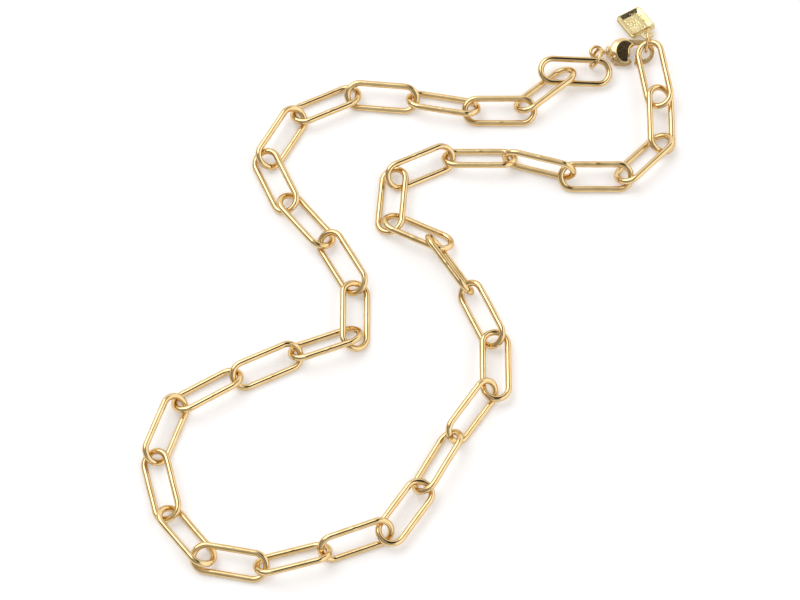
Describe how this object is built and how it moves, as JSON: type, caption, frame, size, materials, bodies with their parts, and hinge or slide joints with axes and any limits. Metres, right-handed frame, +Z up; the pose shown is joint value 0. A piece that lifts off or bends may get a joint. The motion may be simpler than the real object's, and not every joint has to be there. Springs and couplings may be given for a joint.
{
  "type": "paperclip chain necklace",
  "caption": "Paperclip chain necklace of long oval wire links, fastened with a sprung lobster clasp, with a jump ring, a tag ring and a small blank square tag.",
  "frame": {"origin": "bottom centre of the box round the laid-out fastened chain, on the surface that it lies on", "axes": "+Z up from the surface, +Y away from the viewer along the longest run of the loop, +X to the viewer's right; the fastened clasp lies at the +X +Y end"},
  "size_m": [0.1016, 0.1213, 0.0063],
  "materials": {
    "link_gold": "polished yellow gold plate on round wire",
    "clasp_gold": "polished casting in yellow gold plate",
    "lever_gold": "polished yellow gold plate",
    "ring_gold": "polished yellow gold plate on thin round wire",
    "tag_gold": "polished bevels and a lightly dimpled face in yellow gold plate"
  },
  "bodies": {
    "chain": {"link_01": "link_gold", "link_02": "link_gold", "link_03": "link_gold", "link_04": "link_gold", "link_05": "link_gold", "link_06": "link_gold", "link_07": "link_gold", "link_08": "link_gold", "link_09": "link_gold", "link_10": "link_gold", "link_11": "link_gold", "link_12": "link_gold", "link_13": "link_gold", "link_14": "link_gold", "link_15": "link_gold", "link_16": "link_gold", "link_17": "link_gold", "link_18": "link_gold", "link_19": "link_gold", "link_20": "link_gold", "link_21": "link_gold", "link_22": "link_gold", "link_23": "link_gold", "link_24": "link_gold", "link_25": "link_gold", "link_26": "link_gold", "link_27": "link_gold", "link_28": "link_gold", "link_29": "link_gold", "link_30": "link_gold", "link_31": "link_gold", "link_32": "link_gold", "link_33": "link_gold", "link_34": "link_gold", "link_35": "link_gold", "clasp_body": "clasp_gold", "jump_ring": "ring_gold", "tag_ring": "ring_gold", "tag": "tag_gold"},
    "lever": {"clasp_lever": "lever_gold"}
  },
  "joints": [
    {"name": "lever_swing", "type": "hinge", "parent": "chain", "child": "lever", "pos_m": [0.03952, 0.04851, 0.00111], "axis": [0, -0.2588, 0.9659], "range_deg": [0, 25], "stiffness_Nm_per_rad": 0.001}
  ]
}
